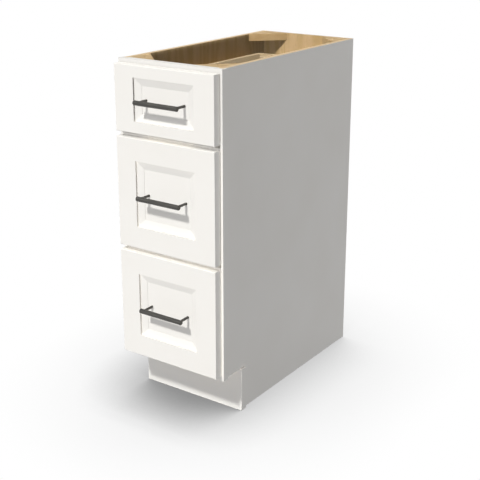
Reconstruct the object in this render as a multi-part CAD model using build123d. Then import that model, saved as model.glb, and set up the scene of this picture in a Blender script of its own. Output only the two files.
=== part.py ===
"""Face-frame base cabinet with three drawers on telescopic slides.

Millimetres. The origin is on the floor, midway between the cabinet's sides and midway
between the front of the pulls and the back. X runs to the right of a person who faces the
cabinet, Y runs from the front to the back, and Z runs up.
"""
from build123d import *
import os

# Whole cabinet, measured over the face frame
cabinet_width = 304.8
cabinet_height = 876.3
cabinet_depth = 609.6
toe_height = 114.3
toe_recess = 76.2

# Carcass boards
side_thickness = 12.7
side_inset = 6.35
floor_thickness = 12.7
back_thickness = 12.7
toe_board_thickness = 19.05
housing_depth = 6.35
corner_block_leg = 76.2
corner_block_thickness = 19.05
counter_screw_diameter = 5.0

# Face frame
frame_thickness = 19.05
frame_stile_width = 38.1
frame_rail_height = 38.1
tenon_thickness = 6.35
tenon_length = 12.7
tenon_shoulder = 6.35

# Drawer fronts: where they lie on the frame, and their stile-and-rail section
front_side_reveal = 6.35
front_top_reveal = 9.525
front_bottom_reveal = 12.7
front_gap = 12.7
top_front_height = 161.925
front_thickness = 22.0
front_stile_flat = 57.15
front_rail_flat = 55.6
top_front_rail_flat = 28.575
sticking_step = 4.8
bevel_width = 19.05
bevel_sink = 4.2
bevel_land = 0.5
panel_thickness = 6.35
panel_groove_depth = 9.5
panel_groove_play = 0.5
front_edge_bevel = 0.9

# Rubber bumpers that hold a closed front off the frame
bumper_thickness = 1.6
bumper_diameter = 9.5
bumper_end_distance = 16.0

# Drawer boxes
box_board_thickness = 12.7
box_depth = 524.0
box_clearance_below = 8.0
box_clearance_above = 11.05
box_bottom_thickness = 6.35
box_bottom_height = 12.7
box_groove_depth = 6.35
dovetail_pitch = 32.0
dovetail_pin_width = 7.0
dovetail_slope = 1 / 6

# Telescopic slides: three nested steel channels on each side of a box
slide_thickness = 12.7
slide_height = 45.0
slide_setback = 3.0
slide_end_margin = 16.0
slide_steel = 1.2
slide_running_gap = 0.4
slide_lip = 2.0
slide_channel_depth = 9.0
packer_height = 64.0

# Bar pulls
pull_bar_diameter = 12.0
pull_bar_overhang = 7.5
pull_post_diameter = 6.5
pull_post_inset = 13.35
pull_projection = 26.5
pull_end_bevel = 0.8

# Screws: pulls are held from inside the box, and so are the fronts.
# Small round pieces that repeat are drawn with a few sides.
small_round_sides = 12
screw_diameter = 4.0
screw_hole_play = 0.3
screw_head_diameter = 8.0
screw_head_height = 2.4
pull_screw_depth = 10.0
front_screw_depth = 10.0
front_screw_inset = 5.5
front_screw_end_distance = 28.0

# Places that follow from the sizes above
half_width = cabinet_width / 2
pull_reach = bumper_thickness + front_thickness + pull_projection + pull_bar_diameter / 2
frame_front = pull_reach - (pull_reach + cabinet_depth) / 2
frame_back = frame_front + frame_thickness
cabinet_back = frame_front + cabinet_depth
side_outer = half_width - side_inset
side_inner = side_outer - side_thickness
opening_half = half_width - frame_stile_width
back_inner = cabinet_back - back_thickness
toe_front = frame_front + toe_recess
toe_back = toe_front + toe_board_thickness
front_half = half_width - front_side_reveal
front_back = frame_front - bumper_thickness
front_face = front_back - front_thickness
panel_front = front_face + sticking_step + bevel_sink + bevel_land
panel_back = panel_front + panel_thickness
box_half = opening_half - slide_thickness
box_inner_half = box_half - box_board_thickness
box_front_inner = front_back + box_board_thickness
box_back = front_back + box_depth
slide_length = box_depth - slide_end_margin
panel_field_half = front_half - front_stile_flat - bevel_width
pull_post_x = panel_field_half - pull_post_inset
pull_bar_half = pull_post_x + pull_bar_overhang
pull_bar_y = front_face - pull_projection
floor_top = toe_height + frame_rail_height

# Heights of the fronts, of the frame rails behind the gaps, and of the boxes
lowest_front = toe_height + front_bottom_reveal
highest_front = cabinet_height - front_top_reveal
lower_front_height = (highest_front - lowest_front - top_front_height - 2 * front_gap) / 2
top_front_span = (highest_front - top_front_height, highest_front)
bottom_front_span = (lowest_front, lowest_front + lower_front_height)
middle_front_span = (bottom_front_span[1] + front_gap, top_front_span[0] - front_gap)


def rail_span(middle):
    """Bottom and top of a frame rail that is centred on a height."""
    return (middle - frame_rail_height / 2, middle + frame_rail_height / 2)


bottom_rail_span = (toe_height, toe_height + frame_rail_height)
lower_middle_rail_span = rail_span(bottom_front_span[1] + front_gap / 2)
upper_middle_rail_span = rail_span(middle_front_span[1] + front_gap / 2)
top_rail_span = (cabinet_height - frame_rail_height, cabinet_height)


def box_span(rail_below, rail_above):
    """Bottom and top of the drawer box that runs between two frame rails."""
    return (rail_below[1] + box_clearance_below, rail_above[0] - box_clearance_above)


drawers = {
    "top": (top_front_span, box_span(upper_middle_rail_span, top_rail_span), top_front_rail_flat),
    "middle": (middle_front_span, box_span(lower_middle_rail_span, upper_middle_rail_span), front_rail_flat),
    "bottom": (bottom_front_span, box_span(bottom_rail_span, lower_middle_rail_span), front_rail_flat),
}


def board(x_span, y_span, z_span):
    """A square-edged board between three pairs of limits."""
    sizes = [high - low for low, high in (x_span, y_span, z_span)]
    middles = [(low + high) / 2 for low, high in (x_span, y_span, z_span)]
    return Pos(*middles) * Box(*sizes)


def rod(start, end, diameter, sides=None):
    """A round rod between two points, or one with a few sides, as wide across them."""
    axis = Vector(*end) - Vector(*start)
    section = RegularPolygon(diameter / 2, sides, major_radius=False) if sides else Circle(diameter / 2)
    return extrude(Plane(origin=start, z_dir=axis) * section, axis.length)


def small_rod(start, end, diameter):
    """A small round piece, such as a screw's shank, or the hole for one."""
    return rod(start, end, diameter, small_round_sides)


def middle_of(span):
    return (span[0] + span[1]) / 2


def mirrored(solid):
    """The same piece for the other side of the cabinet."""
    return mirror(solid, about=Plane.YZ)


# Carcass

def make_frame_rail(z_span):
    """A frame rail with a stub tenon on each end."""
    rail = board((-opening_half, opening_half), (frame_front, frame_back), z_span)
    tenon_half = opening_half + tenon_length
    tenon_middle = (frame_front + frame_back) / 2
    tenon_y = (tenon_middle - tenon_thickness / 2, tenon_middle + tenon_thickness / 2)
    tenon_z = (z_span[0] + tenon_shoulder, z_span[1] - tenon_shoulder)
    return rail + board((-tenon_half, tenon_half), tenon_y, tenon_z)


def make_cabinet_floor():
    """The floor, let into both sides and into the bottom rail."""
    half = side_inner + housing_depth
    return board((-half, half), (frame_back - housing_depth, back_inner), (floor_top - floor_thickness, floor_top))


def make_back_panel():
    """The back, let into rabbets along the sides and closing off the floor's rear edge."""
    half = side_inner + housing_depth
    return board((-half, half), (back_inner, cabinet_back), (floor_top - floor_thickness, cabinet_height))


def make_right_side_panel(floor, back):
    """A side with the toe notch, let into the frame stile and housed for the floor and the back."""
    side = board((side_inner, side_outer), (frame_back - housing_depth, cabinet_back), (0, cabinet_height))
    notch = board((side_inner, side_outer), (frame_back - housing_depth, toe_back), (0, toe_height))
    return side - notch - floor - back


def make_right_frame_stile(rails, side, floor):
    """A frame stile with a mortise for each rail and grooves for the side panel and the floor."""
    stile = board((opening_half, half_width), (frame_front, frame_back), (toe_height, cabinet_height))
    for piece in (*rails, side, floor):
        stile -= piece
    return stile


def make_toe_kick_board():
    """The recessed board at the floor, as wide as the face frame."""
    return board((-half_width, half_width), (toe_front, toe_back), (0, toe_height))


def make_corner_blocks():
    """Four triangular blocks flush with the top, each with a screw hole for the counter."""
    blocks = []
    for x_sign in (-1, 1):
        for corner_y, y_sign in ((frame_back, 1), (back_inner, -1)):
            corner = (x_sign * side_inner, corner_y)
            along_side = (corner[0], corner_y + y_sign * corner_block_leg)
            across = (corner[0] - x_sign * corner_block_leg, corner_y)
            outline = make_face(Polyline(corner, along_side, across, close=True))
            block = extrude(outline, corner_block_thickness, dir=(0, 0, 1))
            hole_x = corner[0] - x_sign * corner_block_leg / 3
            hole_y = corner_y + y_sign * corner_block_leg / 3
            block -= rod((hole_x, hole_y, 0), (hole_x, hole_y, corner_block_thickness), counter_screw_diameter)
            blocks.append(Pos(0, 0, cabinet_height - corner_block_thickness) * block)
    return blocks


def make_slide_packers():
    """Wooden strips that bring each slide out from the side panel to the frame's inner edge."""
    packers = []
    for front_span, box_z, rail_flat in drawers.values():
        height = middle_of(box_z)
        packer_z = (height - packer_height / 2, height + packer_height / 2)
        packer_y = (frame_back, frame_front + slide_setback + slide_length)
        right = board((opening_half, side_inner), packer_y, packer_z)
        packers += [mirrored(right), right]
    return packers


# Telescopic slides

def slide_member(upper_half, height):
    """Two channels, left and right, from the upper half of their shared section.

    Each point is a distance inwards from the frame's inner edge and a height above the
    slide's middle. The section runs from the middle line round to the middle line again.
    """
    lower_half = [(inward, -up) for inward, up in reversed(upper_half)]
    outline = make_face(Polyline(*upper_half, *lower_half, close=True))
    front = (opening_half, frame_front + slide_setback, height)
    section = Plane(origin=front, x_dir=(-1, 0, 0), z_dir=(0, 1, 0)) * outline
    right = extrude(section, slide_length, dir=(0, 1, 0))
    return [mirrored(right), right]


def lipped_channel(web, mouth, half_height):
    """Upper half of a channel whose flanges turn in at the mouth."""
    lip_end = half_height - slide_steel - slide_lip
    return [
        (web, half_height),
        (mouth, half_height),
        (mouth, lip_end),
        (mouth - slide_steel, lip_end),
        (mouth - slide_steel, half_height - slide_steel),
        (web + slide_steel, half_height - slide_steel),
    ]


nesting = slide_steel + slide_running_gap
outer_half_height = slide_height / 2
middle_half_height = outer_half_height - nesting
inner_half_height = middle_half_height - nesting
middle_mouth = slide_channel_depth - nesting


def make_cabinet_slide_members():
    """The outer channels, fixed to the frame and the packers."""
    members = []
    for front_span, box_z, rail_flat in drawers.values():
        section = lipped_channel(0, slide_channel_depth, outer_half_height)
        members += slide_member(section, middle_of(box_z))
    return members


def make_middle_slide_members(box_z):
    """The channels that travel half as far as the drawer."""
    section = lipped_channel(nesting, middle_mouth, middle_half_height)
    return slide_member(section, middle_of(box_z))


def make_drawer_slide_members(box_z):
    """The inner channels on the box, with hooks behind the middle channels' lips."""
    hook = middle_mouth - nesting - slide_steel
    flange = inner_half_height - slide_lip
    section = [
        (slide_thickness, flange),
        (hook + slide_steel, flange),
        (hook + slide_steel, inner_half_height),
        (hook, inner_half_height),
        (hook, flange - slide_steel),
        (slide_thickness - slide_steel, flange - slide_steel),
    ]
    return slide_member(section, middle_of(box_z))


# Drawer boxes

def dovetail_sockets(z_span, end_y, base_y):
    """The tapered sockets in a right side board's end, with half sockets at its edges."""
    height = z_span[1] - z_span[0]
    count = max(1, round(height / dovetail_pitch))
    narrow = dovetail_pin_width / 2
    wide = narrow + box_board_thickness * dovetail_slope
    outline = make_face(Polyline((end_y, -narrow), (end_y, narrow), (base_y, wide), (base_y, -wide), close=True))
    sockets = []
    for index in range(count + 1):
        place = (box_inner_half, 0, z_span[0] + index * height / count)
        section = Plane(origin=place, x_dir=(0, 1, 0), z_dir=(1, 0, 0)) * outline
        sockets.append(extrude(section, box_board_thickness, dir=(1, 0, 0)))
    return sockets


def make_box_bottom(z_span):
    """The thin bottom, let into grooves on all four sides."""
    half = box_inner_half + box_groove_depth
    bottom_y = (box_front_inner - box_groove_depth, box_back - box_board_thickness + box_groove_depth)
    base = z_span[0] + box_bottom_height
    return board((-half, half), bottom_y, (base, base + box_bottom_thickness))


def make_right_box_side(z_span, bottom):
    """A side board with dovetails on both ends and a groove for the bottom."""
    side = board((box_inner_half, box_half), (front_back, box_back), z_span)
    front_sockets = dovetail_sockets(z_span, front_back, box_front_inner)
    back_sockets = dovetail_sockets(z_span, box_back, box_back - box_board_thickness)
    for socket in front_sockets + back_sockets:
        side -= socket
    return side - bottom


def make_box_end(y_span, z_span, sides, bottom):
    """The front or back board, whose pins fill the sockets between the side boards' tails."""
    end = board((-box_half, box_half), y_span, z_span)
    for side in sides:
        end -= side
    return end - bottom


# Drawer fronts

def sticking_section(flat_width):
    """Section of a stile or rail: a flat, a step, a bevel down to the panel, and its groove.

    The first coordinate runs from the outer edge towards the panel, the second from the
    face to the back.
    """
    inner_edge = flat_width + bevel_width
    groove_end = inner_edge - panel_groove_depth
    outline = Polyline(
        (0, 0),
        (flat_width, 0),
        (flat_width, sticking_step),
        (inner_edge, sticking_step + bevel_sink),
        (inner_edge, panel_front - front_face),
        (groove_end, panel_front - front_face),
        (groove_end, panel_back - front_face),
        (inner_edge, panel_back - front_face),
        (inner_edge, front_thickness),
        (0, front_thickness),
        close=True,
    )
    section = make_face(outline)
    return chamfer(section.vertices().sort_by_distance((0, 0))[0], front_edge_bevel)


def make_right_front_stile(z_span):
    """A stile over the front's whole height, with eased edges on its face."""
    place = Plane(origin=(front_half, front_face, z_span[0]), x_dir=(-1, 0, 0), z_dir=(0, 0, -1))
    stile = extrude(place * sticking_section(front_stile_flat), z_span[1] - z_span[0], dir=(0, 0, 1))
    end_edges = stile.edges().filter_by(Axis.X).filter_by_position(Axis.Y, front_face, front_face)
    return chamfer(end_edges.filter_by(lambda edge: edge.length > bevel_width), front_edge_bevel)


def make_front_rail(edge_z, towards_panel, rail_flat, stiles):
    """A rail between the stiles, coped over their bevels and tongued into their grooves."""
    half = front_half - front_stile_flat
    start = (-half, front_face, edge_z)
    place = Plane(origin=start, x_dir=(0, 0, towards_panel), z_dir=(-towards_panel, 0, 0))
    rail = extrude(place * sticking_section(rail_flat), 2 * half, dir=(1, 0, 0))
    for stile in stiles:
        rail -= stile
    return rail


def make_front_panel(z_span, rail_flat, screw_points):
    """The flat centre panel, loose in its grooves, with a hole for each pull screw."""
    overlap = panel_groove_depth - panel_groove_play
    half = panel_field_half + overlap
    edge = rail_flat + bevel_width - overlap
    panel = board((-half, half), (panel_front, panel_back), (z_span[0] + edge, z_span[1] - edge))
    for x, z in screw_points:
        panel -= small_rod((x, panel_front, z), (x, panel_back, z), screw_diameter + 2 * screw_hole_play)
    return panel


def make_bumpers(z_span):
    """Four round bumpers behind the corners of a front, over the frame's stiles."""
    x = (opening_half + front_half) / 2
    bumpers = []
    for bumper_x in (-x, x):
        for z in (z_span[0] + bumper_end_distance, z_span[1] - bumper_end_distance):
            bumpers.append(small_rod((bumper_x, front_back, z), (bumper_x, frame_front, z), bumper_diameter))
    return bumpers


# Pulls and screws

def make_pull(height):
    """A round bar on two posts that stand on the panel, each tapped for its screw."""
    bar_ends = [(x, pull_bar_y, height) for x in (-pull_bar_half, pull_bar_half)]
    bar = rod(*bar_ends, pull_bar_diameter)
    pull = chamfer(bar.edges().filter_by(GeomType.CIRCLE), pull_end_bevel)
    for x in (-pull_post_x, pull_post_x):
        pull += rod((x, pull_bar_y, height), (x, panel_front, height), pull_post_diameter)
    for x in (-pull_post_x, pull_post_x):
        hole_end = (x, panel_front - pull_screw_depth - screw_hole_play, height)
        pull -= small_rod((x, panel_front, height), hole_end, screw_diameter + 2 * screw_hole_play)
    return pull


def make_screw(x, z, tip_y):
    """A pan-head screw whose head bears on the inner face of the box front."""
    head_top = (x, box_front_inner + screw_head_height, z)
    shank = small_rod((x, box_front_inner, z), (x, tip_y, z), screw_diameter)
    return shank + small_rod((x, box_front_inner, z), head_top, screw_head_diameter)


def drill(solid, points, y_span):
    """Clearance holes along Y for screws at some points."""
    for x, z in points:
        solid -= small_rod((x, y_span[0], z), (x, y_span[1], z), screw_diameter + 2 * screw_hole_play)
    return solid


def make_drawer(name, front_z, box_z, rail_flat):
    """Every piece of one drawer, by name."""
    height = middle_of(front_z)
    pull_points = [(-pull_post_x, height), (pull_post_x, height)]
    screw_x = box_inner_half - front_screw_inset
    screw_heights = (box_z[0] + front_screw_end_distance, box_z[1] - front_screw_end_distance)
    front_points = [(x, z) for x in (-screw_x, screw_x) for z in screw_heights]
    front_screw_tip = front_back - front_screw_depth

    right_stile = make_right_front_stile(front_z)
    stiles = [mirrored(right_stile), right_stile]
    top_rail = make_front_rail(front_z[1], -1, rail_flat, stiles)
    bottom_rail = make_front_rail(front_z[0], 1, rail_flat, stiles)
    screw_bore = (front_screw_tip - screw_hole_play, front_back)
    stiles = [drill(stile, [p for p in front_points if p[0] * side > 0], screw_bore)
              for stile, side in zip(stiles, (-1, 1))]

    bottom = make_box_bottom(box_z)
    right_side = make_right_box_side(box_z, bottom)
    sides = [mirrored(right_side), right_side]
    box_front = make_box_end((front_back, box_front_inner), box_z, sides, bottom)
    box_rear = make_box_end((box_back - box_board_thickness, box_back), box_z, sides, bottom)
    box_front = drill(box_front, pull_points + front_points, (front_back, box_front_inner))

    screws = [make_screw(x, z, panel_front - pull_screw_depth) for x, z in pull_points]
    screws += [make_screw(x, z, front_screw_tip) for x, z in front_points]
    return {
        f"{name}_front_left_stile": stiles[0],
        f"{name}_front_right_stile": stiles[1],
        f"{name}_front_top_rail": top_rail,
        f"{name}_front_bottom_rail": bottom_rail,
        f"{name}_front_panel": make_front_panel(front_z, rail_flat, pull_points),
        f"{name}_box_left_side": sides[0],
        f"{name}_box_right_side": sides[1],
        f"{name}_box_front": box_front,
        f"{name}_box_back": box_rear,
        f"{name}_box_bottom": bottom,
        f"{name}_pull": make_pull(height),
        f"{name}_screws": screws,
        f"{name}_bumpers": make_bumpers(front_z),
        f"{name}_slide_drawer_members": make_drawer_slide_members(box_z),
        f"{name}_slide_middle_members": make_middle_slide_members(box_z),
    }


def make_carcass():
    """Every fixed piece, by name."""
    floor = make_cabinet_floor()
    back = make_back_panel()
    right_side = make_right_side_panel(floor, back)
    rails = {
        "top_frame_rail": make_frame_rail(top_rail_span),
        "upper_middle_frame_rail": make_frame_rail(upper_middle_rail_span),
        "lower_middle_frame_rail": make_frame_rail(lower_middle_rail_span),
        "bottom_frame_rail": make_frame_rail(bottom_rail_span),
    }
    right_stile = make_right_frame_stile(rails.values(), right_side, floor)
    rails["bottom_frame_rail"] -= floor
    return {
        "left_side_panel": mirrored(right_side),
        "right_side_panel": right_side,
        "cabinet_floor": floor,
        "back_panel": back,
        "left_frame_stile": mirrored(right_stile),
        "right_frame_stile": right_stile,
        **rails,
        "toe_kick_board": make_toe_kick_board(),
        "corner_blocks": make_corner_blocks(),
        "slide_packers": make_slide_packers(),
        "cabinet_slide_members": make_cabinet_slide_members(),
    }


def main():
    os.makedirs("parts", exist_ok=True)
    pieces = make_carcass()
    for name, (front_z, box_z, rail_flat) in drawers.items():
        pieces.update(make_drawer(name, front_z, box_z, rail_flat))
    for name, piece in pieces.items():
        solids = piece if isinstance(piece, list) else [piece]
        export_step(Compound(children=solids), f"parts/{name}.step")
    print(len(pieces), "pieces written")


main()
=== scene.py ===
"""Finishes, small hardware and the studio stage for a three-drawer base cabinet.

The packed solids stand as they are. This file paints and veneers them, puts finer screws and
bumpers in place of the plain ones, adds the small fittings on the drawer slides, and lights and
frames the cabinet as the photograph does. It is laid out as an add-on and run as a script.
"""
import math

import bmesh
import bpy
from mathutils import Matrix, Vector


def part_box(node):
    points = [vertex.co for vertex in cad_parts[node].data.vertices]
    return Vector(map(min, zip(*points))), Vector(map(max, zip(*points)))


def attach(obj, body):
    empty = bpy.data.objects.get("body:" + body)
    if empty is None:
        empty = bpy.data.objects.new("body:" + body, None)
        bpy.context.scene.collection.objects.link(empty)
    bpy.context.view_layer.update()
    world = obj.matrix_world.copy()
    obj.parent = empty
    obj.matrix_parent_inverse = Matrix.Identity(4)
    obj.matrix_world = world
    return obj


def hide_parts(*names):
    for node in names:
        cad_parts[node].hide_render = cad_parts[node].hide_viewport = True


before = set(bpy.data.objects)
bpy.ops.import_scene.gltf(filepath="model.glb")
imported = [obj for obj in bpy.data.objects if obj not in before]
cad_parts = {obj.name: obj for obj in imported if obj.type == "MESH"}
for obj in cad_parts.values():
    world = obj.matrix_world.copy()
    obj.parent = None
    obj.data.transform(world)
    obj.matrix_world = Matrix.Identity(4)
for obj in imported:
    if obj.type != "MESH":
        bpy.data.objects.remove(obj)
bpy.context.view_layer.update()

bl_info = {
    "name": "Drawer base cabinet",
    "version": (1, 0, 0),
    "blender": (4, 5, 0),
    "location": "View3D > Sidebar > Cabinet",
    "description": "Finishes, hardware and stage for a three-drawer base cabinet",
    "category": "Object",
}

millimetre = 0.001
frame_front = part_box("left_frame_stile")[0][1]
drawer_names = ("top", "middle", "bottom")
axis_numbers = {"x": 0, "y": 1, "z": 2}
straight_down = (0, 0, -1)

# CAD nodes that share a finish or a light
frame_stiles = ("left_frame_stile", "right_frame_stile")
side_nodes = ("left_side_panel", "right_side_panel")
toe_board = "toe_kick_board"
frame_nodes = (
    *frame_stiles,
    "top_frame_rail",
    "upper_middle_frame_rail",
    "lower_middle_frame_rail",
    "bottom_frame_rail",
    toe_board,
)
front_pieces = ("left_stile", "right_stile", "top_rail", "bottom_rail", "panel")
front_nodes = [f"{drawer}_front_{piece}" for drawer in drawer_names for piece in front_pieces]
painted_nodes = [*frame_nodes, *front_nodes]
box_boards = ("left_side", "right_side", "front", "back", "bottom")


def linear(hex_colour):
    """A linear colour with full alpha from an sRGB hex value."""
    shares = [int(hex_colour[place:place + 2], 16) / 255 for place in (1, 3, 5)]
    lights = [share / 12.92 if share <= 0.04045 else ((share + 0.055) / 1.055) ** 2.4 for share in shares]
    return (*lights, 1.0)


def colour_property(name, description, hex_colour):
    """A colour that a user can change."""
    return bpy.props.FloatVectorProperty(
        name=name, description=description, subtype="COLOR", size=4, min=0, max=1,
        default=linear(hex_colour))


def length_property(name, description, size_in_mm):
    """A length that a user can change."""
    return bpy.props.FloatProperty(
        name=name, description=description, unit="LENGTH", min=0, default=size_in_mm * millimetre)


def strength_property(name, description, strength):
    """A light's strength that a user can change."""
    return bpy.props.FloatProperty(name=name, description=description, min=0, default=strength)


def share_property(name, description, share):
    """A share from 0 to 1 that a user can change."""
    return bpy.props.FloatProperty(
        name=name, description=description, subtype="FACTOR", min=0, max=1, default=share)


def angle_property(name, description, degrees):
    """An angle that a user can change."""
    return bpy.props.FloatProperty(
        name=name, description=description, subtype="ANGLE", default=math.radians(degrees))


def direction_property(name, description, direction):
    """A direction that a user can change."""
    return bpy.props.FloatVectorProperty(
        name=name, description=description, subtype="DIRECTION", default=direction)


class PaintSettings(bpy.types.PropertyGroup):
    """Enamel on the frame, the fronts, the toe board and the outside of the sides."""
    enamel: colour_property("Enamel", "Warm white of the sprayed enamel", "#F5F2EC")
    thin_enamel: colour_property("Thin enamel", "Enamel where the spray lies thinner", "#F0ECE4")
    # Painted shade: a greyer enamel colour for inside corners and creases, standing in for the shade that
    # falls there
    painted_corner_shade: colour_property("Dust", "Greyer paint in the inside corners, where a cloth misses", "#E8E4DC")
    painted_shade_reach: length_property("Dust width", "How far from an inside corner the paint is greyer", 6)


class WoodSettings(bpy.types.PropertyGroup):
    """Birch plywood, solid birch and maple."""
    veneer: colour_property("Birch veneer", "Pale wood of the plywood's face veneer", "#EBC998")
    veneer_figure: colour_property("Birch figure", "Darker bands in the face veneer", "#DCB881")
    ply: colour_property("Pale ply", "Layers of a plywood edge that run along it", "#E6CCA4")
    cross_ply: colour_property("Cross ply", "Layers of a plywood edge that run across it", "#D6B98C")
    block: colour_property("Birch block", "Pale wood of the corner blocks and packers", "#E3C491")
    block_figure: colour_property("Block figure", "Darker bands in the blocks and packers", "#D2AF7A")
    maple: colour_property("Maple", "Pale wood of the drawer boxes", "#ECD4B0")
    maple_figure: colour_property("Maple figure", "Darker bands in the drawer boxes", "#DFC499")
    end_grain: colour_property("End grain", "Cut ends of the boards", "#B08E60")


class HardwareSettings(bpy.types.PropertyGroup):
    """Pulls, slides, screws and bumpers."""
    gunmetal: colour_property("Gunmetal", "Dark steel of the pulls", "#4E4D4B")
    gunmetal_rub: colour_property("Rubbed gunmetal", "Lighter brush lines on the pulls", "#67645D")
    zinc: colour_property("Zinc", "Plating of the slides and screws", "#B2B6BA")
    zinc_tint: colour_property("Zinc tint", "Yellowish clouds in the plating", "#BAB6AA")
    rubber: colour_property("Bumper", "Clear polyurethane of the bumpers", "#DADAD4")
    screw_head_height: length_property("Screw head", "Height of a front screw's head", 2.4)
    screw_diameter: length_property("Screw size", "Diameter over a screw's thread", 4.0)
    thread_pitch: length_property("Thread pitch", "From one ridge of a screw's thread to the next", 1.6)
    slide_steel: length_property("Slide steel", "Thickness of a slide's web", 1.2)
    slide_screw_head: length_property("Slide screw width", "Width of a slide screw's head", 7.0)
    slide_screw_height: length_property("Slide screw head", "Height of a slide screw's head", 1.8)
    slide_screw_length: length_property("Slide screw length", "Length of a slide screw's shank", 11.0)
    slide_screw_inset: length_property(
        "Slide screw inset", "From the end of a slide to its first screw", 36.0)


class StageSettings(bpy.types.PropertyGroup):
    """Floor, light and camera."""
    floor_radius: length_property("Floor radius", "Half the width of the pale floor", 12000)
    wide_shadow_reach: length_property("Wide shadow", "How far the pale shadow spreads on the floor", 420)
    wide_shadow_depth: share_property(
        "Wide shadow depth", "How dark the pale shadow is at its darkest", 0.42)
    near_shadow_reach: length_property("Near shadow", "How far the dark shadow spreads on the floor", 190)
    near_shadow_depth: share_property(
        "Near shadow depth", "How dark the near shadow is at its darkest", 0.75)
    near_shadow_from: direction_property(
        "Near shadow direction", "Where the soft light comes from that the near shadow lacks",
        (0.35, 0.6, 0.72))
    key_strength: strength_property("Key light", "Strength of the light from above the front", 2.44)
    key_softness: angle_property("Key softness", "Angle that the key and toe lights seem to fill", 4)
    key_travel: direction_property("Key direction", "Way that the key light travels", (0, 0.687, -0.728))
    toe_strength: strength_property("Toe light", "Strength of the steeper key light on the toe board", 2.57)
    toe_travel: direction_property("Toe direction", "Way that the toe light travels", (0, 0.653, -0.757))
    front_strength: strength_property("Front light", "Strength of the second light on the front", 1.35)
    front_travel: direction_property(
        "Front direction", "Way that the front light travels", (0, 0.94, -0.342))
    inside_left_strength: strength_property(
        "Inside light leftwards", "Strength of the even light on wood inside that faces right", 0.85)
    inside_left_travel: direction_property(
        "Leftward direction", "Way that the inside light leftwards travels", (-0.985, 0.17, 0))
    inside_right_strength: strength_property(
        "Inside light rightwards", "Strength of the even light on wood inside that faces left", 0.5)
    inside_right_travel: direction_property(
        "Rightward direction", "Way that the inside light rightwards travels", (0.985, 0.17, 0))
    edge_strength: strength_property(
        "Edge light", "Strength of the even light on the top edges of the fronts and the toe board", 0.45)
    side_strength: strength_property(
        "Side lights", "Strength of the level lights on the sides and the back", 0.98)
    cool_tint: colour_property("Cool tint", "Slightly cool colour of the front and side lights", "#F8FAFF")
    fill_softness: angle_property("Fill softness", "Angle that each of the other lights seems to fill", 4)
    top_strength: strength_property("Top light", "Strength of the light from overhead", 0.1)
    fill_strength: strength_property("Fill light", "Strength of the even light from all round", 0.10)
    camera_turn: angle_property("Camera turn", "Angle of the camera to the right of the front", 35.022)
    camera_rise: angle_property("Camera rise", "Angle of the camera above the level", 17.516)
    camera_distance: length_property("Camera distance", "From the camera to the point it looks at", 2583)
    camera_target: bpy.props.FloatVectorProperty(
        name="Camera target", description="Point that the camera looks at",
        subtype="XYZ", unit="LENGTH", default=(-0.00302, frame_front + 0.284041, 0.458987))
    camera_lens: bpy.props.FloatProperty(
        name="Lens", description="Focal length", unit="CAMERA", default=73.358)
    camera_shift: bpy.props.FloatVectorProperty(
        name="Lens shift", description="Shift of the frame to the right and up, in frame widths",
        size=2, default=(0.0031, -0.0694))


# Materials

def add_node(tree, kind, inputs=None, **settings):
    """Adds a node, sets its options, and links or sets its inputs, by name or by number.

    A mix node's inputs go by number: 0 is the share, 2 and 3 are numbers, 4 and 5 vectors, 6 and 7 colours.
    """
    node = tree.nodes.new(kind)
    for name, value in settings.items():
        setattr(node, name, value)
    for key, value in (inputs or {}).items():
        if isinstance(value, bpy.types.NodeSocket):
            tree.links.new(value, node.inputs[key])
        else:
            node.inputs[key].default_value = value
    return node


def start_material(name):
    """An empty material and its node tree."""
    material = bpy.data.materials.new(name)
    material.use_nodes = True
    material.node_tree.nodes.clear()
    return material, material.node_tree


def finish_material(tree, inputs):
    """Ends a node tree in one principled shader."""
    shader = add_node(tree, "ShaderNodeBsdfPrincipled", inputs)
    add_node(tree, "ShaderNodeOutputMaterial", {"Surface": shader.outputs["BSDF"]})


def scale_for(size_in_mm):
    """Texture scale at which a feature is about that wide. Coordinates are in metres."""
    return 1 / (size_in_mm * millimetre)


def give(material, node_names):
    """Puts a material on CAD nodes."""
    for name in node_names:
        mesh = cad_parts[name].data
        mesh.materials.clear()
        mesh.materials.append(material)


def enamel_look(tree, settings):
    """Sockets for the colour, roughness and surface of sprayed satin enamel.

    The eye sees an even warm white with a soft sheen, clouds where coats overlap, and the
    slight orange peel of the spray. The peel is about 1 mm across and is drawn at 4 mm to show.
    """
    place = add_node(tree, "ShaderNodeTexCoord").outputs["Object"]
    clouds = add_node(tree, "ShaderNodeTexNoise", {"Vector": place, "Scale": scale_for(160), "Detail": 3})
    peel = add_node(tree, "ShaderNodeTexNoise", {"Vector": place, "Scale": scale_for(4), "Detail": 2})
    colour = add_node(
        tree, "ShaderNodeMix",
        {0: clouds.outputs["Fac"], 6: settings.enamel, 7: settings.thin_enamel}, data_type="RGBA")
    roughness = add_node(
        tree, "ShaderNodeMapRange",
        {"Value": clouds.outputs["Fac"], "From Min": 0.3, "From Max": 0.7, "To Min": 0.36, "To Max": 0.46})
    surface = add_node(
        tree, "ShaderNodeBump",
        {"Height": peel.outputs["Fac"], "Strength": 0.12, "Distance": 0.1 * millimetre})
    return colour.outputs[2], roughness.outputs["Result"], surface.outputs["Normal"]


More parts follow.
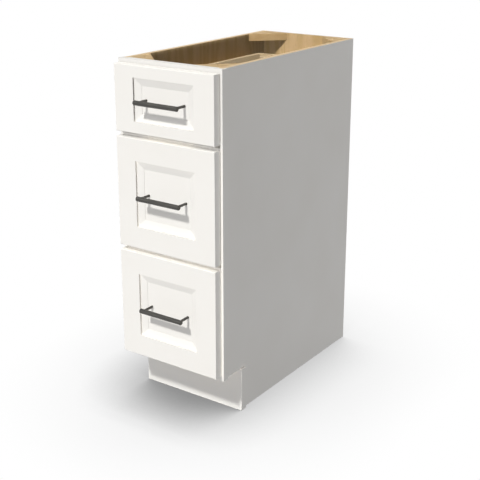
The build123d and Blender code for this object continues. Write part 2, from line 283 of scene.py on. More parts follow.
def make_enamel(settings):
    """Satin enamel sprayed on maple frames and fronts.

    The eye sees painted shade: the enamel is greyed in the inside corners and creases, where ambient
    occlusion finds shade. No painted shade lies on the frame behind a front, which is closed in.
    """
    material, tree = start_material("satin_white_enamel")
    colour, roughness, surface = enamel_look(tree, settings)
    # Painted shade: ambient occlusion greys the enamel in inside corners and creases, but not where a
    # corner is fully closed in
    openness = add_node(
        tree, "ShaderNodeAmbientOcclusion", {"Distance": settings.painted_shade_reach}, samples=8).outputs["AO"]
    in_corner = add_node(
        tree, "ShaderNodeMapRange", {"Value": openness, "From Min": 1.0, "From Max": 0.45})
    not_closed_in = add_node(
        tree, "ShaderNodeMapRange", {"Value": openness, "From Min": 0.15, "From Max": 0.45})
    painted_shade_share = add_node(
        tree, "ShaderNodeMath",
        {0: in_corner.outputs["Result"], 1: not_closed_in.outputs["Result"]}, operation="MULTIPLY")
    corner_shaded = add_node(
        tree, "ShaderNodeMix", {0: painted_shade_share.outputs[0], 6: colour, 7: settings.painted_corner_shade}, data_type="RGBA")
    finish_material(
        tree,
        {"Base Color": corner_shaded.outputs[2], "Roughness": roughness, "Normal": surface, "IOR": 1.5,
         "Specular IOR Level": 0.35})
    return material


# How fast each pattern in the wood changes along the grain, as a share of how fast it does across it
figure_along_grain = 0.10
fibres_along_grain = 0.03
flecks_along_grain = 0.12
# Radians of the figure's wave over the whole range of the growth noise
figure_waves = 46.0
# The most, in metres, that a board's own number moves its pattern
own_shift_reach = (7, 11, 13)
# Thickness of one layer in a plywood sheet of nine layers and in a thin one of five, in mm
sheet_layer = 12.7 / 9
thin_sheet_layer = 6.35 / 5


def wood_look(tree, pale, figure, end_grain, grain):
    """Sockets for the colour, roughness and surface of lacquered wood whose grain runs along an axis.

    The eye sees wavy bands of figure along the board, fine fibres in them, short dark flecks, and
    duller speckled ends. Fibres are under 1 mm wide and are drawn at 3 mm to show, and the pores in
    the ends, of about 0.1 mm, at 1.8 mm.
    """
    along = axis_numbers[grain]
    coordinates = add_node(tree, "ShaderNodeTexCoord")
    own_number = add_node(tree, "ShaderNodeObjectInfo").outputs["Random"]
    own_shift = add_node(
        tree, "ShaderNodeVectorMath", {0: own_shift_reach, "Scale": own_number}, operation="SCALE")
    place = add_node(
        tree, "ShaderNodeVectorMath",
        {0: coordinates.outputs["Object"], 1: own_shift.outputs[0]}, operation="ADD")

    stretched = []
    for share in (figure_along_grain, fibres_along_grain, flecks_along_grain):
        scale = [1.0, 1.0, 1.0]
        scale[along] = share
        stretched.append(add_node(
            tree, "ShaderNodeVectorMath", {0: place.outputs[0], 1: scale}, operation="MULTIPLY").outputs[0])
    figure_place, fibre_place, fleck_place = stretched
    growth = add_node(
        tree, "ShaderNodeTexNoise",
        {"Vector": figure_place, "Scale": scale_for(70), "Detail": 2, "Distortion": 0.4})
    rings = add_node(
        tree, "ShaderNodeMath", {0: growth.outputs["Fac"], 1: figure_waves}, operation="MULTIPLY")
    waves = add_node(tree, "ShaderNodeMath", {0: rings.outputs[0]}, operation="SINE")
    bands = add_node(
        tree, "ShaderNodeMapRange",
        {"Value": waves.outputs[0], "From Min": -1, "From Max": 1, "To Min": 0.1})
    fibres = add_node(
        tree, "ShaderNodeTexNoise", {"Vector": fibre_place, "Scale": scale_for(3), "Detail": 3})
    specks = add_node(
        tree, "ShaderNodeTexNoise", {"Vector": fleck_place, "Scale": scale_for(2.2), "Detail": 1})
    flecks = add_node(
        tree, "ShaderNodeMapRange",
        {"Value": specks.outputs["Fac"], "From Min": 0.66, "From Max": 0.74, "To Max": 0.35})

    banded = add_node(
        tree, "ShaderNodeMix", {0: bands.outputs["Result"], 6: pale, 7: figure}, data_type="RGBA")
    fibre_share = add_node(
        tree, "ShaderNodeMapRange",
        {"Value": fibres.outputs["Fac"], "From Min": 0.4, "From Max": 0.75, "To Max": 0.55})
    streaked = add_node(
        tree, "ShaderNodeMix",
        {0: fibre_share.outputs["Result"], 6: banded.outputs[2], 7: figure}, data_type="RGBA")
    flecked = add_node(
        tree, "ShaderNodeMix",
        {0: flecks.outputs["Result"], 6: streaked.outputs[2], 7: end_grain}, data_type="RGBA")

    facing = add_node(
        tree, "ShaderNodeVectorMath", {0: coordinates.outputs["Normal"]}, operation="ABSOLUTE")
    facings = add_node(tree, "ShaderNodeSeparateXYZ", {0: facing.outputs[0]})
    cut_end = add_node(
        tree, "ShaderNodeMapRange", {"Value": facings.outputs[along], "From Min": 0.6, "From Max": 0.8})
    pores = add_node(
        tree, "ShaderNodeTexNoise", {"Vector": place.outputs[0], "Scale": scale_for(1.8), "Detail": 2})
    end_colour = add_node(
        tree, "ShaderNodeMix", {0: pores.outputs["Fac"], 6: figure, 7: end_grain}, data_type="RGBA")
    colour = add_node(
        tree, "ShaderNodeMix",
        {0: cut_end.outputs["Result"], 6: flecked.outputs[2], 7: end_colour.outputs[2]}, data_type="RGBA")
    roughness = add_node(
        tree, "ShaderNodeMapRange", {"Value": fibres.outputs["Fac"], "To Min": 0.5, "To Max": 0.72})
    surface = add_node(
        tree, "ShaderNodeBump",
        {"Height": fibres.outputs["Fac"], "Strength": 0.2, "Distance": 0.15 * millimetre})
    return colour.outputs[2], roughness.outputs["Result"], surface.outputs["Normal"]


def ply_edge_look(tree, settings, sheet_axis, layer_in_mm):
    """Sockets for a plywood edge's stripes and for the share of edge at a point."""
    across = axis_numbers[sheet_axis]
    coordinates = add_node(tree, "ShaderNodeTexCoord")
    places = add_node(tree, "ShaderNodeSeparateXYZ", {0: coordinates.outputs["Object"]})
    layers = add_node(
        tree, "ShaderNodeMath",
        {0: places.outputs[across], 1: scale_for(2 * layer_in_mm)}, operation="MULTIPLY")
    step = add_node(tree, "ShaderNodeMath", {0: layers.outputs[0]}, operation="FRACT")
    stripe = add_node(
        tree, "ShaderNodeMapRange", {"Value": step.outputs[0], "From Min": 0.46, "From Max": 0.54})
    colour = add_node(
        tree, "ShaderNodeMix",
        {0: stripe.outputs["Result"], 6: settings.ply, 7: settings.cross_ply}, data_type="RGBA")
    facing = add_node(
        tree, "ShaderNodeVectorMath", {0: coordinates.outputs["Normal"]}, operation="ABSOLUTE")
    facings = add_node(tree, "ShaderNodeSeparateXYZ", {0: facing.outputs[0]})
    edge_share = add_node(
        tree, "ShaderNodeMapRange",
        {"Value": facings.outputs[across], "From Min": 0.4, "From Max": 0.6, "To Min": 1, "To Max": 0})
    return colour.outputs[2], edge_share.outputs["Result"]


def make_plywood(settings, name, grain, sheet_axis, layer_in_mm):
    """Birch plywood with clear lacquer: rotary-cut face veneer, and striped layers on its edges."""
    material, tree = start_material(name)
    face, roughness, surface = wood_look(
        tree, settings.veneer, settings.veneer_figure, settings.end_grain, grain)
    edge, edge_share = ply_edge_look(tree, settings, sheet_axis, layer_in_mm)
    colour = add_node(tree, "ShaderNodeMix", {0: edge_share, 6: face, 7: edge}, data_type="RGBA")
    finish_material(
        tree,
        {"Base Color": colour.outputs[2], "Roughness": roughness, "Normal": surface, "IOR": 1.5,
         "Specular IOR Level": 0.3})
    return material


def make_painted_plywood(paint, wood):
    """Birch plywood sides with enamel on the outer face, and bare lacquered edges and inside."""
    material, tree = start_material("birch_plywood_enamelled_outside")
    face, wood_roughness, wood_surface = wood_look(
        tree, wood.veneer, wood.veneer_figure, wood.end_grain, "z")
    edge, edge_share = ply_edge_look(tree, wood, "x", sheet_layer)
    bare = add_node(tree, "ShaderNodeMix", {0: edge_share, 6: face, 7: edge}, data_type="RGBA")
    enamel, enamel_roughness, enamel_surface = enamel_look(tree, paint)

    coordinates = add_node(tree, "ShaderNodeTexCoord")
    outwards = add_node(
        tree, "ShaderNodeVectorMath",
        {0: coordinates.outputs["Object"], 1: coordinates.outputs["Normal"]}, operation="MULTIPLY")
    sides = add_node(tree, "ShaderNodeSeparateXYZ", {0: outwards.outputs[0]})
    # Place times facing is well above zero only on the faces that look away from the cabinet's middle
    well_outside = 50 * millimetre
    painted = add_node(
        tree, "ShaderNodeMath",
        {0: sides.outputs["X"], 1: well_outside}, operation="GREATER_THAN").outputs[0]
    colour = add_node(tree, "ShaderNodeMix", {0: painted, 6: bare.outputs[2], 7: enamel}, data_type="RGBA")
    roughness = add_node(tree, "ShaderNodeMix", {0: painted, 2: wood_roughness, 3: enamel_roughness})
    surface = add_node(
        tree, "ShaderNodeMix", {0: painted, 4: wood_surface, 5: enamel_surface}, data_type="VECTOR")
    finish_material(
        tree,
        {"Base Color": colour.outputs[2], "Roughness": roughness.outputs[0], "Normal": surface.outputs[1],
         "IOR": 1.5, "Specular IOR Level": 0.35})
    return material


def make_solid_wood(name, pale, figure, end_grain, grain):
    """A solid lacquered board with its grain along an axis."""
    material, tree = start_material(name)
    colour, roughness, surface = wood_look(tree, pale, figure, end_grain, grain)
    finish_material(
        tree,
        {"Base Color": colour, "Roughness": roughness, "Normal": surface, "IOR": 1.5,
         "Specular IOR Level": 0.3})
    return material


def make_zinc(settings):
    """Zinc-plated rolled steel.

    The eye sees a bright cool grey with yellowish clouds and fine rolling lines along Y. The lines are
    about 0.2 mm wide and are drawn at 1.5 mm to show.
    """
    material, tree = start_material("zinc_plated_steel")
    place = add_node(tree, "ShaderNodeTexCoord").outputs["Object"]
    clouds = add_node(tree, "ShaderNodeTexNoise", {"Vector": place, "Scale": scale_for(22), "Detail": 4})
    long_along_y = (1, 0.02, 1)
    drawn = add_node(tree, "ShaderNodeVectorMath", {0: place, 1: long_along_y}, operation="MULTIPLY")
    lines = add_node(
        tree, "ShaderNodeTexNoise", {"Vector": drawn.outputs[0], "Scale": scale_for(1.5), "Detail": 2})
    colour = add_node(
        tree, "ShaderNodeMix",
        {0: clouds.outputs["Fac"], 6: settings.zinc, 7: settings.zinc_tint}, data_type="RGBA")
    roughness = add_node(
        tree, "ShaderNodeMapRange",
        {"Value": lines.outputs["Fac"], "From Min": 0.3, "From Max": 0.7, "To Min": 0.24, "To Max": 0.4})
    surface = add_node(
        tree, "ShaderNodeBump",
        {"Height": lines.outputs["Fac"], "Strength": 0.15, "Distance": 0.05 * millimetre})
    finish_material(
        tree,
        {"Base Color": colour.outputs[2], "Metallic": 1.0, "Roughness": roughness.outputs["Result"],
         "Normal": surface.outputs["Normal"]})
    return material


def make_gunmetal(settings):
    """Dark plated steel, brushed along the bar.

    The eye sees a near black, with lighter lines where the brush bit. The lines are about 0.1 mm wide
    and are drawn at 1.2 mm to show.
    """
    material, tree = start_material("brushed_gunmetal")
    place = add_node(tree, "ShaderNodeTexCoord").outputs["Object"]
    long_along_x = (0.03, 1, 1)
    drawn = add_node(tree, "ShaderNodeVectorMath", {0: place, 1: long_along_x}, operation="MULTIPLY")
    lines = add_node(
        tree, "ShaderNodeTexNoise", {"Vector": drawn.outputs[0], "Scale": scale_for(1.2), "Detail": 3})
    rub = add_node(
        tree, "ShaderNodeMapRange", {"Value": lines.outputs["Fac"], "From Min": 0.45, "From Max": 0.8})
    colour = add_node(
        tree, "ShaderNodeMix",
        {0: rub.outputs["Result"], 6: settings.gunmetal, 7: settings.gunmetal_rub}, data_type="RGBA")
    roughness = add_node(
        tree, "ShaderNodeMapRange",
        {"Value": lines.outputs["Fac"], "From Min": 0.3, "From Max": 0.7, "To Min": 0.3, "To Max": 0.46})
    surface = add_node(
        tree, "ShaderNodeBump",
        {"Height": lines.outputs["Fac"], "Strength": 0.2, "Distance": 0.05 * millimetre})
    finish_material(
        tree,
        {"Base Color": colour.outputs[2], "Metallic": 1.0, "Roughness": roughness.outputs["Result"],
         "Normal": surface.outputs["Normal"]})
    return material


def make_bumper_rubber(settings):
    """Moulded clear polyurethane: milky and soft, with a slightly uneven sheen."""
    material, tree = start_material("clear_polyurethane")
    place = add_node(tree, "ShaderNodeTexCoord").outputs["Object"]
    clouds = add_node(tree, "ShaderNodeTexNoise", {"Vector": place, "Scale": scale_for(3), "Detail": 2})
    roughness = add_node(
        tree, "ShaderNodeMapRange", {"Value": clouds.outputs["Fac"], "To Min": 0.2, "To Max": 0.45})
    finish_material(
        tree,
        {"Base Color": settings.rubber, "Roughness": roughness.outputs["Result"], "IOR": 1.49,
         "Transmission Weight": 0.6})
    return material


# Meshes of the small pieces

def solid_boxes(node_name):
    """Lowest and highest corners of each separate solid in a CAD node."""
    shape = bmesh.new()
    shape.from_mesh(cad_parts[node_name].data)
    same_point = 0.01 * millimetre
    bmesh.ops.remove_doubles(shape, verts=shape.verts, dist=same_point)
    waiting = set(shape.verts)
    boxes = []
    while waiting:
        reached = [waiting.pop()]
        for vertex in reached:
            for edge in vertex.link_edges:
                neighbour = edge.other_vert(vertex)
                if neighbour in waiting:
                    waiting.remove(neighbour)
                    reached.append(neighbour)
        low = Vector([min(vertex.co[axis] for vertex in reached) for axis in range(3)])
        high = Vector([max(vertex.co[axis] for vertex in reached) for axis in range(3)])
        boxes.append((low, high))
    shape.free()
    return sorted(boxes, key=lambda box: tuple(box[0]))


def turn(shape, profile, placing, steps=36):
    """Adds a turned form. The profile's (radius, height) points start and end on its axis."""
    foot = shape.verts.new(placing @ Vector((0, 0, profile[0][1])))
    crown = shape.verts.new(placing @ Vector((0, 0, profile[-1][1])))
    angles = [math.tau * step / steps for step in range(steps)]
    rings = []
    for radius, height in profile[1:-1]:
        rings.append([
            shape.verts.new(placing @ Vector((radius * math.cos(angle), radius * math.sin(angle), height)))
            for angle in angles])
    for step in range(steps):
        after = (step + 1) % steps
        shape.faces.new((foot, rings[0][after], rings[0][step]))
        for lower, upper in zip(rings, rings[1:]):
            shape.faces.new((lower[step], lower[after], upper[after], upper[step]))
        shape.faces.new((crown, rings[-1][step], rings[-1][after]))


def dome_profile(radius, edge_height, height, steps=8):
    """Points of a low dome above a straight edge, from the edge to the crown."""
    points = []
    for step in range(steps):
        angle = math.pi / 2 * step / steps
        points.append((radius * math.cos(angle), edge_height + (height - edge_height) * math.sin(angle)))
    return [*points, (0, height)]


def cross_cutter(reach, arm, top, depth):
    """A tapered cross, like a screwdriver's tip, from above the head down to its depth."""
    width_above = 1.6
    width_below = 0.5
    corners = [(arm, arm), (arm, reach), (-arm, reach)]
    shape = bmesh.new()
    rings = []
    for height, share in ((top + depth, width_above), (top - depth, width_below)):
        ring = []
        for quarter in range(4):
            turned = Matrix.Rotation(math.pi / 2 * quarter, 3, "Z")
            for x, y in corners:
                ring.append(shape.verts.new(turned @ Vector((x * share, y * share, height))))
        rings.append(ring)
    count = len(rings[0])
    for number in range(count):
        after = (number + 1) % count
        shape.faces.new((rings[0][number], rings[0][after], rings[1][after], rings[1][number]))
    for ring in rings:
        shape.faces.new(ring)
    bmesh.ops.recalc_face_normals(shape, faces=shape.faces)
    return shape


def mesh_object(name, shape):
    """An object made from a bmesh, which is used up."""
    mesh = bpy.data.meshes.new(name)
    shape.to_mesh(mesh)
    shape.free()
    made = bpy.data.objects.new(name, mesh)
    bpy.context.scene.collection.objects.link(made)
    return made


# Shares of a screw's outer radius
point_length_share = 1.5
point_share = 0.3
thread_root_share = 0.78
neck_share = 0.85
# Shares of a screw head's radius and height
recess_reach_share = 0.52
recess_arm_share = 0.11
recess_depth_share = 0.62
head_edge_share = 0.35


def pan_head_screw(head_radius, head_height, shank_radius, shank_length, thread_pitch):
    """Mesh of a screw along Z, with its head above zero, a cross recess in it and a ridged shank below."""
    point_length = point_length_share * shank_radius
    profile = [(0, -shank_length), (point_share * shank_radius, -shank_length)]
    ridges = int((shank_length - point_length) / thread_pitch)
    for ridge in range(ridges):
        height = -shank_length + point_length + ridge * thread_pitch
        profile += [(thread_root_share * shank_radius, height), (shank_radius, height + thread_pitch / 2)]
    profile += [(neck_share * shank_radius, 0), (head_radius, 0)]
    profile += dome_profile(head_radius, head_edge_share * head_height, head_height)
    shape = bmesh.new()
    turn(shape, profile, Matrix.Identity(4))
    screw = mesh_object("screw_blank", shape)
    cutter = mesh_object("screw_recess", cross_cutter(
        recess_reach_share * head_radius, recess_arm_share * head_radius,
        head_height, recess_depth_share * head_height))
    recess = screw.modifiers.new("recess", "BOOLEAN")
    recess.object = cutter
    recess.solver = "EXACT"
    drawn = screw.evaluated_get(bpy.context.evaluated_depsgraph_get())
    mesh = bpy.data.meshes.new_from_object(drawn)
    for used in (screw, cutter):
        bpy.data.meshes.remove(used.data)
    return mesh


def add_copy(shape, mesh, placing):
    """Adds a copy of a mesh to a bmesh at a place."""
    before = len(shape.verts)
    shape.from_mesh(mesh)
    shape.verts.ensure_lookup_table()
    bmesh.ops.transform(shape, matrix=placing, verts=shape.verts[before:])


# Edges that turn more than this stay sharp
sharp_edge_angle = math.radians(40)


def hang_piece(name, shape, material, body, replaced=()):
    """Makes a piece with smooth round faces, which rides on a body and may stand for CAD nodes."""
    piece = mesh_object(name, shape)
    piece.data.materials.append(material)
    piece.data.shade_smooth()
    piece.data.set_sharp_from_angle(angle=sharp_edge_angle)
    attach(piece, body)
    if replaced:
        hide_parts(*replaced)


# Operators

class CABINET_OT_paint_frame_and_fronts(bpy.types.Operator):
    """Sprays the face frame, the toe board and the drawer fronts with satin enamel"""
    bl_idname = "cabinet.paint_frame_and_fronts"
    bl_label = "Paint the frame and fronts"

    def execute(self, context):
        give(make_enamel(context.scene.cabinet_paint), painted_nodes)
        return {"FINISHED"}


class CABINET_OT_finish_carcass(bpy.types.Operator):
    """Gives the sides, floor, back, corner blocks and slide packers their birch"""
    bl_idname = "cabinet.finish_carcass"
    bl_label = "Finish the carcass"

    def execute(self, context):
        wood = context.scene.cabinet_wood
        sides = make_painted_plywood(context.scene.cabinet_paint, wood)
        back = make_plywood(wood, "birch_plywood_back", "z", "y", sheet_layer)
        floor = make_plywood(wood, "birch_plywood_floor", "y", "z", sheet_layer)
        blocks = make_solid_wood("solid_birch_blocks", wood.block, wood.block_figure, wood.end_grain, "x")
        packers = make_solid_wood("solid_birch_packers", wood.block, wood.block_figure, wood.end_grain, "y")
        give(sides, side_nodes)
        give(back, ["back_panel"])
        give(floor, ["cabinet_floor"])
        give(blocks, ["corner_blocks"])
        give(packers, ["slide_packers"])
        return {"FINISHED"}


class CABINET_OT_finish_drawer_boxes(bpy.types.Operator):
    """Gives the drawer boxes their maple boards and plywood bottoms"""
    bl_idname = "cabinet.finish_drawer_boxes"
    bl_label = "Finish the drawer boxes"

    def execute(self, context):
        wood = context.scene.cabinet_wood
        sides = make_solid_wood("maple_box_sides", wood.maple, wood.maple_figure, wood.end_grain, "y")
        ends = make_solid_wood("maple_box_ends", wood.maple, wood.maple_figure, wood.end_grain, "x")
        bottoms = make_plywood(wood, "birch_plywood_box_bottoms", "y", "z", thin_sheet_layer)
        for drawer in drawer_names:
            give(sides, [f"{drawer}_box_left_side", f"{drawer}_box_right_side"])
            give(ends, [f"{drawer}_box_front", f"{drawer}_box_back"])
            give(bottoms, [f"{drawer}_box_bottom"])
        return {"FINISHED"}


class CABINET_OT_finish_hardware(bpy.types.Operator):
    """Gives the slides and pulls their metal"""
    bl_idname = "cabinet.finish_hardware"
    bl_label = "Finish the hardware"

    def execute(self, context):
        hardware = context.scene.cabinet_hardware
        zinc = make_zinc(hardware)
        gunmetal = make_gunmetal(hardware)
        give(zinc, ["cabinet_slide_members"])
        for drawer in drawer_names:
            give(zinc, [f"{drawer}_slide_middle_members", f"{drawer}_slide_drawer_members"])
            give(gunmetal, [f"{drawer}_pull"])
        return {"FINISHED"}


class CABINET_OT_fit_front_screws(bpy.types.Operator):
    """Puts pan-head screws in place of the plain ones that hold the fronts and pulls"""
    bl_idname = "cabinet.fit_front_screws"
    bl_label = "Fit the front screws"

    def execute(self, context):
        hardware = context.scene.cabinet_hardware
        head_out = Matrix.Rotation(-math.pi / 2, 4, "X")
        for drawer in drawer_names:
            node_name = f"{drawer}_screws"
            shape = bmesh.new()
            for low, high in solid_boxes(node_name):
                bearing = high.y - hardware.screw_head_height
                screw = pan_head_screw(
                    (high.x - low.x) / 2, hardware.screw_head_height,
                    hardware.screw_diameter / 2, bearing - low.y, hardware.thread_pitch)
                place = Matrix.Translation(((low.x + high.x) / 2, bearing, (low.z + high.z) / 2))
                add_copy(shape, screw, place @ head_out)
                bpy.data.meshes.remove(screw)
            hang_piece(
                f"{drawer}_pan_head_screws", shape, bpy.data.materials["zinc_plated_steel"],
                f"{drawer}_drawer", [node_name])
        return {"FINISHED"}


# Share of a bumper's thickness that is its straight edge, below the dome
bumper_edge_share = 0.3


class CABINET_OT_fit_bumpers(bpy.types.Operator):
    """Puts domed bumpers in place of the plain ones behind the fronts"""
    bl_idname = "cabinet.fit_bumpers"
    bl_label = "Fit the bumpers"

    def execute(self, context):
        rubber = make_bumper_rubber(context.scene.cabinet_hardware)
        dome_out = Matrix.Rotation(-math.pi / 2, 4, "X")
        for drawer in drawer_names:
            node_name = f"{drawer}_bumpers"
            shape = bmesh.new()
            for low, high in solid_boxes(node_name):
                radius = (high.x - low.x) / 2
                thickness = high.y - low.y
                place = Matrix.Translation(((low.x + high.x) / 2, low.y, (low.z + high.z) / 2))
                dome = dome_profile(radius, bumper_edge_share * thickness, thickness)
                profile = [(0, 0), (radius, 0), *dome]
                turn(shape, profile, place @ dome_out)
            hang_piece(
                f"{drawer}_domed_bumpers", shape, rubber, f"{drawer}_drawer", [node_name])
        return {"FINISHED"}


class CABINET_OT_fit_slide_screws(bpy.types.Operator):
    """Screws each drawer slide to its box with low pan-head screws"""
    bl_idname = "cabinet.fit_slide_screws"
    bl_label = "Fit the slide screws"

    def execute(self, context):
        hardware = context.scene.cabinet_hardware
        screw = pan_head_screw(
            hardware.slide_screw_head / 2, hardware.slide_screw_height,
            hardware.screw_diameter / 2, hardware.slide_screw_length, hardware.thread_pitch)
        for drawer in drawer_names:
            shape = bmesh.new()
            for low, high in solid_boxes(f"{drawer}_slide_drawer_members"):
                outwards = 1 if low.x > 0 else -1
                box_side = low.x if low.x > 0 else high.x
                face = box_side + outwards * hardware.slide_steel
                head_out = Matrix.Rotation(outwards * math.pi / 2, 4, "Y")
                inset = hardware.slide_screw_inset
                for y in (low.y + inset, (low.y + high.y) / 2, high.y - inset):
                    place = Matrix.Translation((face, y, (low.z + high.z) / 2))
                    add_copy(shape, screw, place @ head_out)
            hang_piece(
                f"{drawer}_slide_screws", shape, bpy.data.materials["zinc_plated_steel"],
                f"{drawer}_drawer")
        bpy.data.meshes.remove(screw)
        return {"FINISHED"}


# Stage

def seen_directly(tree):
    """A socket that is 1 for what the camera, metal and glass see, and 0 for light on the object."""
    rays = add_node(tree, "ShaderNodeLightPath").outputs
    mirrored = add_node(
        tree, "ShaderNodeMath", {0: rays["Is Glossy Ray"], 1: rays["Is Transmission Ray"]}, operation="ADD")
    return add_node(
        tree, "ShaderNodeMath", {0: rays["Is Camera Ray"], 1: mirrored.outputs[0]},
        operation="ADD", use_clamp=True).outputs[0]


def make_floor_material(settings):
    """Matt white floor. It looks white with a soft contact shadow, and sends back the even fill light."""
    material, tree = start_material("matt_white_floor")
    wide = add_node(
        tree, "ShaderNodeAmbientOcclusion", {"Distance": settings.wide_shadow_reach}, samples=16)
    pale = add_node(
        tree, "ShaderNodeMapRange", {"Value": wide.outputs["AO"], "To Min": 1 - settings.wide_shadow_depth})
    leaning = add_node(tree, "ShaderNodeCombineXYZ", dict(enumerate(settings.near_shadow_from)))
    near = add_node(
        tree, "ShaderNodeAmbientOcclusion",
        {"Distance": settings.near_shadow_reach, "Normal": leaning.outputs[0]}, samples=16)
    dark = add_node(
        tree, "ShaderNodeMapRange", {"Value": near.outputs["AO"], "To Min": 1 - settings.near_shadow_depth})
    brightness = add_node(
        tree, "ShaderNodeMath",
        {0: pale.outputs["Result"], 1: dark.outputs["Result"]}, operation="MULTIPLY")
    strength = add_node(
        tree, "ShaderNodeMix",
        {0: seen_directly(tree), 2: settings.fill_strength, 3: brightness.outputs[0]})
    light = add_node(tree, "ShaderNodeEmission", {"Strength": strength.outputs[0]})
    add_node(tree, "ShaderNodeOutputMaterial", {"Surface": light.outputs[0]})
    return material


def lay_floor(settings):
    """Lays the round floor, which shows the soft shadow and blocks no light."""
    outline = bmesh.new()
    bmesh.ops.create_circle(outline, cap_ends=True, segments=64, radius=settings.floor_radius)
    floor = mesh_object("studio_floor", outline)
    floor.data.materials.append(make_floor_material(settings))
    floor.visible_shadow = False


def linked_nodes(name, node_names, state):
    """A collection of CAD nodes and pieces that a lamp includes or excludes."""
    collection = bpy.data.collections.new(name)
    for node_name in node_names:
        collection.objects.link(bpy.data.objects[node_name])
    for member in collection.collection_objects:
        member.light_linking.link_state = state
    return collection


def hang_lamp(
        name, travel, strength, softness, tint=(1, 1, 1), shadows=True,
        shadowless=(), lit_only=(), unlit=()):
    """A distant lamp whose light travels one way.

    Nodes that are shadowless cast no shadow from it. Where some are lit_only it lights no others, and
    where some are unlit it lights all others.
    """
    lamp = bpy.data.lights.new(name, "SUN")
    lamp.energy = strength
    lamp.color = tint
    lamp.angle = softness
    lamp.use_shadow = shadows
    lamp_object = bpy.data.objects.new(name, lamp)
    lamp_object.rotation_euler = Vector(travel).to_track_quat("-Z", "Y").to_euler()
    bpy.context.scene.collection.objects.link(lamp_object)
    if shadowless:
        passed = linked_nodes(f"{name}_passes", shadowless, "EXCLUDE")
        lamp_object.light_linking.blocker_collection = passed
    if lit_only:
        lit = linked_nodes(f"{name}_lights", lit_only, "INCLUDE")
        lamp_object.light_linking.receiver_collection = lit
    if unlit:
        skipped = linked_nodes(f"{name}_skips", unlit, "EXCLUDE")
        lamp_object.light_linking.receiver_collection = skipped


def hang_lamps(settings):
    """Lights the cabinet as the photograph does.

    The photograph has no shadow line under a top rail's step, one shadow for each pull, and one on the
    toe board that falls more steeply. Its second light stays on the paint and leaves the inside to the key.
    """
    soft = settings.fill_softness
    cool = settings.cool_tint[:3]
    top_rails = [f"{drawer}_front_top_rail" for drawer in drawer_names]
    pulls = [f"{drawer}_pull" for drawer in drawer_names]
    # What would shade the toe board from the front light
    above_toe = [
        "bottom_front_left_stile", "bottom_front_right_stile", "bottom_front_bottom_rail",
        "bottom_domed_bumpers", "bottom_frame_rail", *frame_stiles, *side_nodes]
    hang_lamp(
        "key_light", settings.key_travel, settings.key_strength, settings.key_softness,
        shadowless=top_rails, unlit=[toe_board])
    hang_lamp(
        "toe_light", settings.toe_travel, settings.toe_strength, settings.key_softness,
        lit_only=[toe_board])
    hang_lamp(
        "front_light", settings.front_travel, settings.front_strength, soft, tint=cool,
        shadowless=[*pulls, *top_rails, *above_toe], lit_only=[*pulls, *painted_nodes, *side_nodes])
    for name, travel in (("right", (-1, 0, 0)), ("left", (1, 0, 0)), ("rear", (0, -1, 0))):
        hang_lamp(f"{name}_light", travel, settings.side_strength, soft, tint=cool)
    hang_lamp("top_light", straight_down, settings.top_strength, soft)


def even_out_shade(settings):
    """Makes the shade as even as in the photograph.

    No bounced light fills the strip of frame above the top front or the bevels round a panel, or warms
    the inside. Light without shadows takes its place inside and on the top edges.
    """
    soft = settings.fill_softness
    edges = ("top_front_top_rail", "top_front_left_stile", "top_front_right_stile")
    panels = [f"{drawer}_front_panel" for drawer in drawer_names]
    boxes = [f"{drawer}_box_{board}" for drawer in drawer_names for board in box_boards]
    inside = ["back_panel", "corner_blocks", *boxes]
    for node_name in (*edges, *panels, *side_nodes, *inside):
        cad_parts[node_name].visible_diffuse = False
    hang_lamp(
        "inside_left_light", settings.inside_left_travel, settings.inside_left_strength, soft,
        shadows=False, lit_only=inside)
    hang_lamp(
        "inside_right_light", settings.inside_right_travel, settings.inside_right_strength, soft,
        shadows=False, lit_only=inside)
    top_edges = [
        f"{drawer}_front_{piece}" for drawer in drawer_names
        for piece in ("left_stile", "right_stile", "top_rail")]
    hang_lamp(
        "edge_light", straight_down, settings.edge_strength, soft,
        shadows=False, lit_only=[*top_edges, toe_board])


def make_sky(settings):
    """A world that looks white and sends the even fill light."""
    world = bpy.data.worlds.new("studio")
    world.use_nodes = True
    tree = world.node_tree
    tree.nodes.clear()
    strength = add_node(tree, "ShaderNodeMix", {0: seen_directly(tree), 2: settings.fill_strength, 3: 1.0})
    sky = add_node(tree, "ShaderNodeBackground", {"Color": (1, 1, 1, 1), "Strength": strength.outputs[0]})
    add_node(tree, "ShaderNodeOutputWorld", {"Surface": sky.outputs[0]})
    return world


def place_camera(settings):
    """A camera at the photograph's viewing angle."""
    camera = bpy.data.cameras.new("camera")
    camera.lens = settings.camera_lens
    camera.shift_x, camera.shift_y = settings.camera_shift
    camera_object = bpy.data.objects.new("camera", camera)
    level = math.cos(settings.camera_rise)
    outwards = Vector((
        math.sin(settings.camera_turn) * level,
        -math.cos(settings.camera_turn) * level,
        math.sin(settings.camera_rise)))
    camera_object.location = Vector(settings.camera_target) + settings.camera_distance * outwards
    camera_object.rotation_euler = (-outwards).to_track_quat("-Z", "Y").to_euler()
    bpy.context.scene.collection.objects.link(camera_object)
    return camera_object


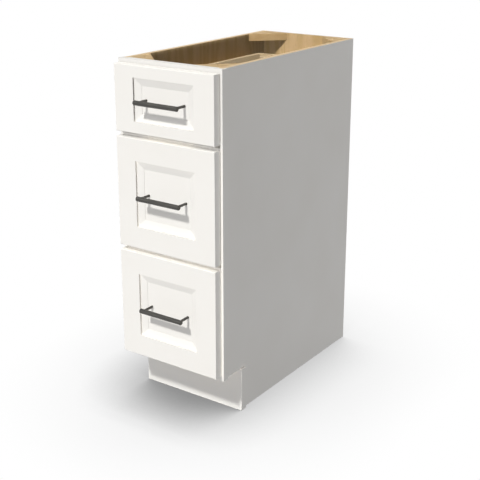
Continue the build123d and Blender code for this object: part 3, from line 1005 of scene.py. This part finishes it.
class CABINET_OT_set_stage(bpy.types.Operator):
    """Lays the floor, lights the cabinet and places the camera"""
    bl_idname = "cabinet.set_stage"
    bl_label = "Set the stage"

    def execute(self, context):
        scene = context.scene
        settings = scene.cabinet_stage
        scene.view_settings.view_transform = "Standard"
        lay_floor(settings)
        hang_lamps(settings)
        even_out_shade(settings)
        scene.world = make_sky(settings)
        scene.camera = place_camera(settings)
        return {"FINISHED"}


# The panel and the add-on's classes

settings_groups = {
    "cabinet_paint": PaintSettings,
    "cabinet_wood": WoodSettings,
    "cabinet_hardware": HardwareSettings,
    "cabinet_stage": StageSettings,
}
operators = (
    CABINET_OT_paint_frame_and_fronts,
    CABINET_OT_finish_carcass,
    CABINET_OT_finish_drawer_boxes,
    CABINET_OT_finish_hardware,
    CABINET_OT_fit_front_screws,
    CABINET_OT_fit_bumpers,
    CABINET_OT_fit_slide_screws,
    CABINET_OT_set_stage,
)


class CABINET_PT_sidebar(bpy.types.Panel):
    """Lists the cabinet's settings and the steps that dress it"""
    bl_idname = "CABINET_PT_sidebar"
    bl_label = "Drawer base cabinet"
    bl_space_type = "VIEW_3D"
    bl_region_type = "UI"
    bl_category = "Cabinet"

    def draw(self, context):
        for operator in operators:
            self.layout.operator(operator.bl_idname)
        for group_name, group in settings_groups.items():
            box = self.layout.box()
            box.label(text=group.__doc__)
            for setting in group.__annotations__:
                box.prop(getattr(context.scene, group_name), setting)


def register():
    """Adds the settings, the operators and the panel."""
    for group_name, group in settings_groups.items():
        bpy.utils.register_class(group)
        setattr(bpy.types.Scene, group_name, bpy.props.PointerProperty(type=group))
    for shown_class in (*operators, CABINET_PT_sidebar):
        bpy.utils.register_class(shown_class)


def unregister():
    """Takes the panel, the operators and the settings away."""
    for shown_class in (CABINET_PT_sidebar, *reversed(operators)):
        bpy.utils.unregister_class(shown_class)
    for group_name, group in reversed(settings_groups.items()):
        delattr(bpy.types.Scene, group_name)
        bpy.utils.unregister_class(group)


def main():
    """Dresses the cabinet."""
    register()
    for operator in operators:
        family, step = operator.bl_idname.split(".")
        getattr(getattr(bpy.ops, family), step)()


if __name__ == "__main__":
    main()
